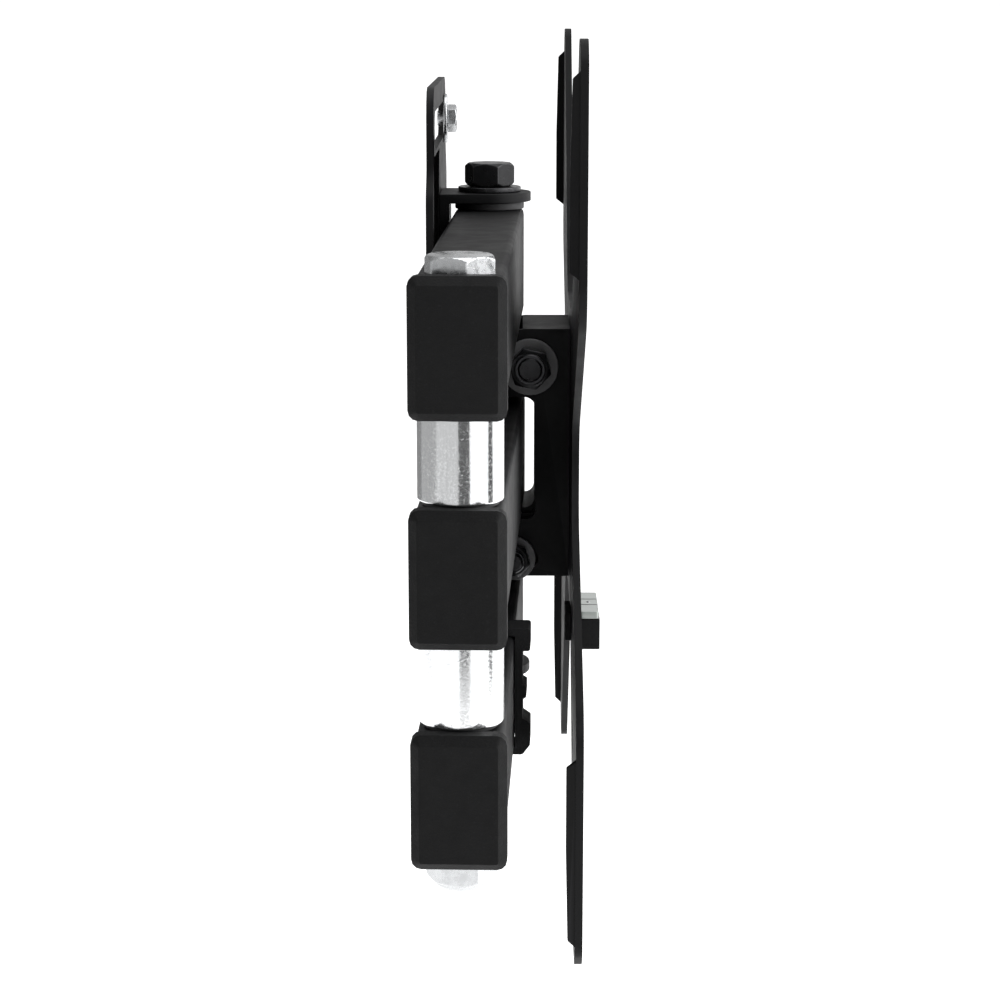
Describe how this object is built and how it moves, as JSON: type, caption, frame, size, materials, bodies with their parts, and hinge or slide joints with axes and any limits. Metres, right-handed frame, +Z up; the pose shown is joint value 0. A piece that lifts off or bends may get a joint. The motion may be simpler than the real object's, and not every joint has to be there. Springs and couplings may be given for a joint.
{
  "type": "full motion tv wall mount",
  "caption": "Folding swing-arm wall bracket that holds a flat screen, with wall swivel, elbow, head swivel, tilt and levelling roll",
  "frame": {"origin": "middle of the wall plate's back face, which lies on the wall", "axes": "+Z up, +Y into the wall, the screen faces -Y, the folded elbow is toward -X"},
  "size_m": [0.4101, 0.0705, 0.352],
  "materials": {
    "wall_plate": "black powder coat, fine texture",
    "wall_bracket": "black powder coat, fine texture",
    "wall_screw_washer": "bright zinc plate",
    "wall_screw": "bright zinc plate",
    "wall_pivot_washer_upper": "black oxide",
    "wall_pivot_bolt_upper": "black oxide",
    "wall_thrust_washer_upper": "dark nylon",
    "wall_pivot_washer_lower": "black oxide",
    "wall_pivot_bolt_lower": "black oxide",
    "wall_thrust_washer_lower": "dark nylon",
    "wall_arm_tube_upper": "black powder coat, fine texture",
    "wall_arm_cap_upper": "black moulded plastic, fine grain",
    "wall_arm_boss_upper": "black oxide",
    "elbow_sleeve_upper": "bright zinc plate",
    "elbow_spacer_upper": "bright chrome with fine scratches",
    "elbow_washer_upper_inner": "dark nylon",
    "elbow_washer_upper_outer": "dark nylon",
    "wall_arm_tube_lower": "black powder coat, fine texture",
    "wall_arm_cap_lower": "black moulded plastic, fine grain",
    "wall_arm_boss_lower": "black oxide",
    "elbow_sleeve_lower": "bright zinc plate",
    "elbow_spacer_lower": "bright chrome with fine scratches",
    "elbow_washer_lower_inner": "dark nylon",
    "elbow_washer_lower_outer": "dark nylon",
    "elbow_bolt": "bright zinc plate",
    "elbow_nut": "bright zinc plate",
    "cable_clip": "black moulded plastic, fine grain",
    "tv_arm_tube": "black powder coat, fine texture",
    "tv_arm_cap": "black moulded plastic, fine grain",
    "elbow_bush": "dark nylon",
    "head_barrel": "black oxide",
    "swivel_bracket": "black powder coat, fine texture",
    "swivel_thrust_washer_upper": "dark nylon",
    "swivel_washer_upper": "black oxide",
    "swivel_thrust_washer_lower": "dark nylon",
    "swivel_washer_lower": "black oxide",
    "swivel_bolt": "black oxide",
    "swivel_nut": "black oxide",
    "tilt_bracket": "black powder coat, fine texture",
    "tilt_washer_near": "bright zinc plate",
    "tilt_washer_far": "bright zinc plate",
    "tilt_nut": "black oxide",
    "tilt_bolt": "black oxide",
    "tilt_lock_washer_near": "bright zinc plate",
    "tilt_lock_washer_far": "bright zinc plate",
    "tilt_lock_nut": "black oxide",
    "tilt_lock_bolt": "black oxide",
    "screen_plate": "black powder coat, fine texture",
    "roll_bolt": "black oxide",
    "roll_nut": "black oxide",
    "level_body": "black moulded plastic, fine grain",
    "level_vial": "clear grey window of the level"
  },
  "bodies": {
    "wall_bracket": {"wall_plate": "wall_plate", "wall_bracket": "wall_bracket", "wall_screw_washer": "wall_screw_washer", "wall_screw": "wall_screw", "wall_pivot_washer_upper": "wall_pivot_washer_upper", "wall_pivot_bolt_upper": "wall_pivot_bolt_upper", "wall_thrust_washer_upper": "wall_thrust_washer_upper", "wall_pivot_washer_lower": "wall_pivot_washer_lower", "wall_pivot_bolt_lower": "wall_pivot_bolt_lower", "wall_thrust_washer_lower": "wall_thrust_washer_lower"},
    "wall_arm": {"wall_arm_tube_upper": "wall_arm_tube_upper", "wall_arm_cap_upper": "wall_arm_cap_upper", "wall_arm_boss_upper": "wall_arm_boss_upper", "elbow_sleeve_upper": "elbow_sleeve_upper", "elbow_spacer_upper": "elbow_spacer_upper", "elbow_washer_upper_inner": "elbow_washer_upper_inner", "elbow_washer_upper_outer": "elbow_washer_upper_outer", "wall_arm_tube_lower": "wall_arm_tube_lower", "wall_arm_cap_lower": "wall_arm_cap_lower", "wall_arm_boss_lower": "wall_arm_boss_lower", "elbow_sleeve_lower": "elbow_sleeve_lower", "elbow_spacer_lower": "elbow_spacer_lower", "elbow_washer_lower_inner": "elbow_washer_lower_inner", "elbow_washer_lower_outer": "elbow_washer_lower_outer", "elbow_bolt": "elbow_bolt", "elbow_nut": "elbow_nut", "cable_clip": "cable_clip"},
    "tv_arm": {"tv_arm_tube": "tv_arm_tube", "tv_arm_cap": "tv_arm_cap", "elbow_bush": "elbow_bush", "head_barrel": "head_barrel"},
    "swivel_bracket": {"swivel_bracket": "swivel_bracket", "swivel_thrust_washer_upper": "swivel_thrust_washer_upper", "swivel_washer_upper": "swivel_washer_upper", "swivel_thrust_washer_lower": "swivel_thrust_washer_lower", "swivel_washer_lower": "swivel_washer_lower", "swivel_bolt": "swivel_bolt", "swivel_nut": "swivel_nut", "tilt_washer_near": "tilt_washer_near", "tilt_washer_far": "tilt_washer_far", "tilt_nut": "tilt_nut", "tilt_bolt": "tilt_bolt", "tilt_lock_washer_near": "tilt_lock_washer_near", "tilt_lock_washer_far": "tilt_lock_washer_far", "tilt_lock_nut": "tilt_lock_nut", "tilt_lock_bolt": "tilt_lock_bolt"},
    "tilt_head": {"tilt_bracket": "tilt_bracket"},
    "screen_plate": {"screen_plate": "screen_plate", "roll_bolt": "roll_bolt", "roll_nut": "roll_nut", "level_body": "level_body", "level_vial": "level_vial"}
  },
  "joints": [
    {"name": "wall_swivel", "type": "hinge", "parent": "wall_bracket", "child": "wall_arm", "pos_m": [0, -0.0244, 0], "axis": [0, 0, 1], "range_deg": [0, 34]},
    {"name": "elbow", "type": "hinge", "parent": "wall_arm", "child": "tv_arm", "pos_m": [-0.25001, -0.0177, 0], "axis": [0, 0, -1], "range_deg": [0, 180]},
    {"name": "head_swivel", "type": "hinge", "parent": "tv_arm", "child": "swivel_bracket", "pos_m": [-0.02413, -0.025, 0], "axis": [0, 0, 1], "range_deg": [-4, 24]},
    {"name": "tilt", "type": "hinge", "parent": "swivel_bracket", "child": "tilt_head", "pos_m": [-0.02413, -0.042, 0.038], "axis": [1, 0, 0], "range_deg": [-5, 3.5]},
    {"name": "level", "type": "hinge", "parent": "tilt_head", "child": "screen_plate", "pos_m": [-0.02413, -0.059, 0], "axis": [0, 1, 0], "range_deg": [-3, 3]}
  ]
}
